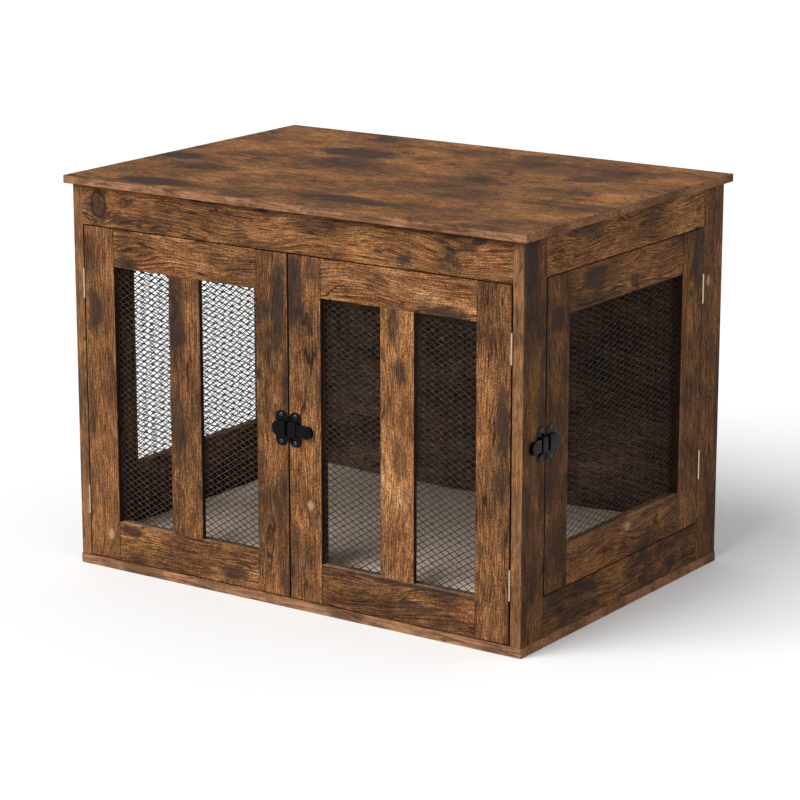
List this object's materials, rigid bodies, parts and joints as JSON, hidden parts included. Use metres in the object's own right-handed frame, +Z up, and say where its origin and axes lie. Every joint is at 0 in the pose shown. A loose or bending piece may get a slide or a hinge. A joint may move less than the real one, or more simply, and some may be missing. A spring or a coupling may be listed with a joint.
{
  "type": "dog crate end table",
  "caption": "Board cabinet dog crate used as an end table, with mesh double doors in front, a mesh side door, a fixed mesh grille, sliding bolts and a floor cushion.",
  "frame": {"origin": "on the floor, under the middle of the cabinet", "axes": "+X to the right seen from the front, towards the side door; +Y to the back; +Z up. The front doors face -Y."},
  "size_m": [0.82, 0.58, 0.606],
  "materials": {
    "rustic_board": "matt printed wood grain",
    "tenon_wood": "bare beech",
    "black_mesh": "satin black coating",
    "black_latch": "gloss black coating",
    "latch_screw": "gloss black coating",
    "bright_steel": "zinc plated",
    "zinc_screw": "zinc plated",
    "cushion_fabric": "short woven cloth"
  },
  "bodies": {
    "crate": {"top_board": "rustic_board", "base_board": "rustic_board", "back_panel": "rustic_board", "front_apron": "rustic_board", "front_door_stop": "rustic_board", "side_door_stop": "rustic_board", "right_front_post": "rustic_board", "right_rear_post": "rustic_board", "right_top_rail": "rustic_board", "right_bottom_rail": "rustic_board", "left_front_post": "rustic_board", "left_rear_post": "rustic_board", "left_top_rail": "rustic_board", "left_bottom_rail": "rustic_board", "left_grille_stiles": "rustic_board", "left_grille_rails": "rustic_board", "left_mesh": "black_mesh", "cushion": "cushion_fabric", "hinge_frame_leaves": "bright_steel", "hinge_pins": "bright_steel", "side_bolt_housing": "black_latch", "side_housing_screws": "latch_screw", "frame_tenons": "tenon_wood", "base_screws": "zinc_screw"},
    "left_door": {"left_door_hinge_stile": "rustic_board", "left_door_meeting_stile": "rustic_board", "left_door_top_rail": "rustic_board", "left_door_bottom_rail": "rustic_board", "left_door_slat": "rustic_board", "left_door_mesh": "black_mesh", "left_door_hinge_leaves": "bright_steel", "left_door_tenons": "tenon_wood", "front_keeper": "black_latch", "front_keeper_screws": "latch_screw"},
    "right_door": {"right_door_hinge_stile": "rustic_board", "right_door_meeting_stile": "rustic_board", "right_door_top_rail": "rustic_board", "right_door_bottom_rail": "rustic_board", "right_door_slat": "rustic_board", "right_door_mesh": "black_mesh", "right_door_hinge_leaves": "bright_steel", "right_door_tenons": "tenon_wood", "front_bolt_housing": "black_latch", "front_housing_screws": "latch_screw"},
    "side_door": {"side_door_hinge_stile": "rustic_board", "side_door_latch_stile": "rustic_board", "side_door_top_rail": "rustic_board", "side_door_bottom_rail": "rustic_board", "side_door_mesh": "black_mesh", "side_door_hinge_leaves": "bright_steel", "side_door_tenons": "tenon_wood", "side_keeper": "black_latch", "side_keeper_screws": "latch_screw"},
    "front_bolt": {"front_bolt": "black_latch"},
    "side_bolt": {"side_bolt": "black_latch"}
  },
  "joints": [
    {"name": "left_door_hinge", "type": "hinge", "parent": "crate", "child": "left_door", "pos_m": [-0.3815, -0.281, 0.27375], "axis": [0, 0, -1], "range_deg": [0, 175]},
    {"name": "right_door_hinge", "type": "hinge", "parent": "crate", "child": "right_door", "pos_m": [0.3815, -0.281, 0.27375], "axis": [0, 0, 1], "range_deg": [0, 175]},
    {"name": "side_door_hinge", "type": "hinge", "parent": "crate", "child": "side_door", "pos_m": [0.401, 0.22, 0.3045], "axis": [0, 0, 1], "range_deg": [0, 175]},
    {"name": "front_bolt_slide", "type": "slide", "parent": "right_door", "child": "front_bolt", "axis": [-1, 0, 0], "range_m": [0, 0.015]},
    {"name": "side_bolt_slide", "type": "slide", "parent": "crate", "child": "side_bolt", "axis": [0, 1, 0], "range_m": [0, 0.015]}
  ]
}
